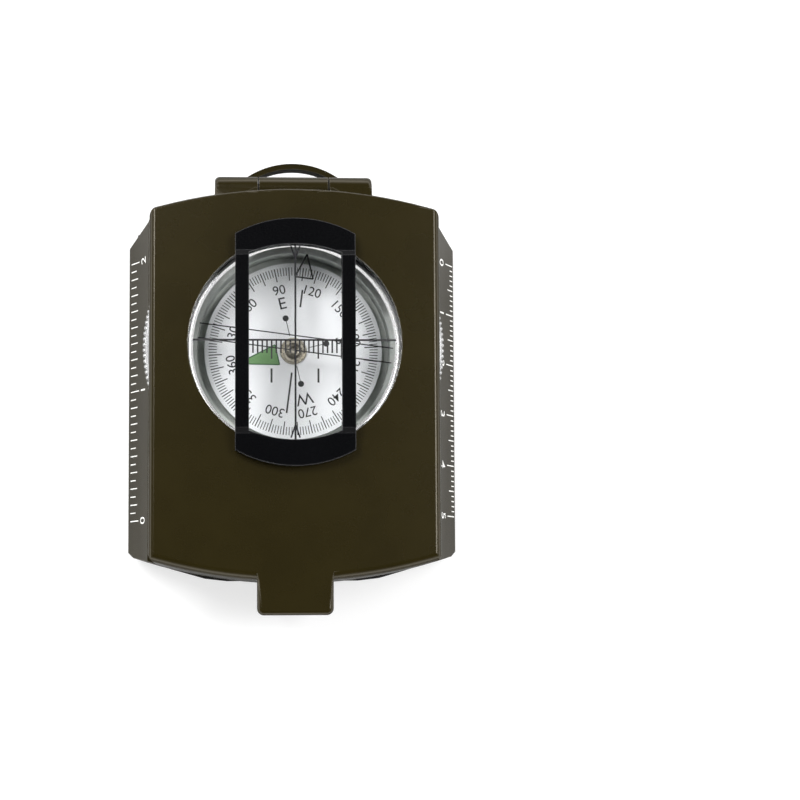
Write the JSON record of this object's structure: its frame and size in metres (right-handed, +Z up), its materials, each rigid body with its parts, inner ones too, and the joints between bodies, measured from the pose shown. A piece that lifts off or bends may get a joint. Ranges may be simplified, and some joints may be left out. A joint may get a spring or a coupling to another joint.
{
  "type": "military compass",
  "caption": "Pocket sighting compass with a hinged lid, sighting frame, liquid-damped dial, knurled turning bezel, folding eyepiece and carrying bail.",
  "frame": {"origin": "on the dial axis at the flat resting face under the bottom cover", "axes": "+Y towards the lid hinge along the case, +Z up out of the lid, +X to the centimetre scale's side"},
  "size_m": [0.0644, 0.0893, 0.029],
  "materials": {
    "olive_paint": "satin olive-brown baked paint",
    "black_metal": "satin black paint",
    "black_rubber": "matt black moulded rubber",
    "gasket_rubber": "matt black",
    "pale_rubber": "matt pale grey",
    "screw_steel": "blackened steel",
    "pin_steel": "ground steel",
    "bright_steel": "bright plated",
    "bezel_aluminium": "satin silver with turned knurls",
    "capsule_metal": "pale satin grey",
    "clear_glass": "clear polished",
    "level_glass": "clear with green fluid",
    "brass": "turned brass",
    "card_white": "matt printed card",
    "jewel_red": "polished bearing jewel",
    "magnet_steel": "dull sintered magnet",
    "wire_black": "blackened wire"
  },
  "bodies": {
    "base": {"base_body": "olive_paint", "bottom_cover": "black_rubber", "cover_screws": "screw_steel", "hinge_pin": "pin_steel", "bail_pins": "bright_steel", "capsule_bowl": "capsule_metal", "capsule_gasket": "pale_rubber", "capsule_glass": "clear_glass", "capsule_lock_ring": "capsule_metal", "pivot_post": "brass", "bezel_snap_ring": "pin_steel", "eyepiece_bracket": "black_metal", "bracket_screws": "screw_steel", "eyepiece_pin": "pin_steel", "level_body": "black_metal", "level_vial": "level_glass", "level_screws": "screw_steel"},
    "lid": {"lid_shell": "olive_paint", "window_glass": "clear_glass", "window_gasket": "gasket_rubber", "window_retainer": "black_metal", "sight_frame": "black_metal", "sight_wire": "wire_black", "frame_screws": "screw_steel"},
    "bezel": {"bezel_ring": "bezel_aluminium", "bezel_glass": "clear_glass", "bezel_glass_clamp": "bezel_aluminium"},
    "card": {"compass_card": "card_white", "card_hub": "brass", "card_jewel": "jewel_red", "card_magnets": "magnet_steel"},
    "eyepiece": {"eyepiece_housing": "black_metal", "eyepiece_lens": "clear_glass", "lens_ring": "black_metal"},
    "bail": {"bail": "olive_paint"}
  },
  "joints": [
    {"name": "lid_hinge", "type": "hinge", "parent": "base", "child": "lid", "pos_m": [0, 0.0316, 0.0144], "axis": [-1, 0, 0], "range_deg": [0, 110]},
    {"name": "eyepiece_hinge", "type": "hinge", "parent": "base", "child": "eyepiece", "pos_m": [0, -0.0483, 0.0152], "axis": [-1, 0, 0], "range_deg": [0, 225]},
    {"name": "bezel_turn", "type": "hinge", "parent": "base", "child": "bezel", "pos_m": [0, 0, 0.0165], "axis": [0, 0, 1], "continuous": true},
    {"name": "card_turn", "type": "hinge", "parent": "base", "child": "card", "pos_m": [0, 0, 0.0121], "axis": [0, 0, 1], "continuous": true},
    {"name": "bail_swing", "type": "hinge", "parent": "base", "child": "bail", "pos_m": [0, 0.0315, 0.0062], "axis": [1, 0, 0], "range_deg": [-42, 42]}
  ],
  "couplings": [
    {"joint": "eyepiece_hinge", "follows": "lid_hinge", "ratio": 2.045}
  ]
}
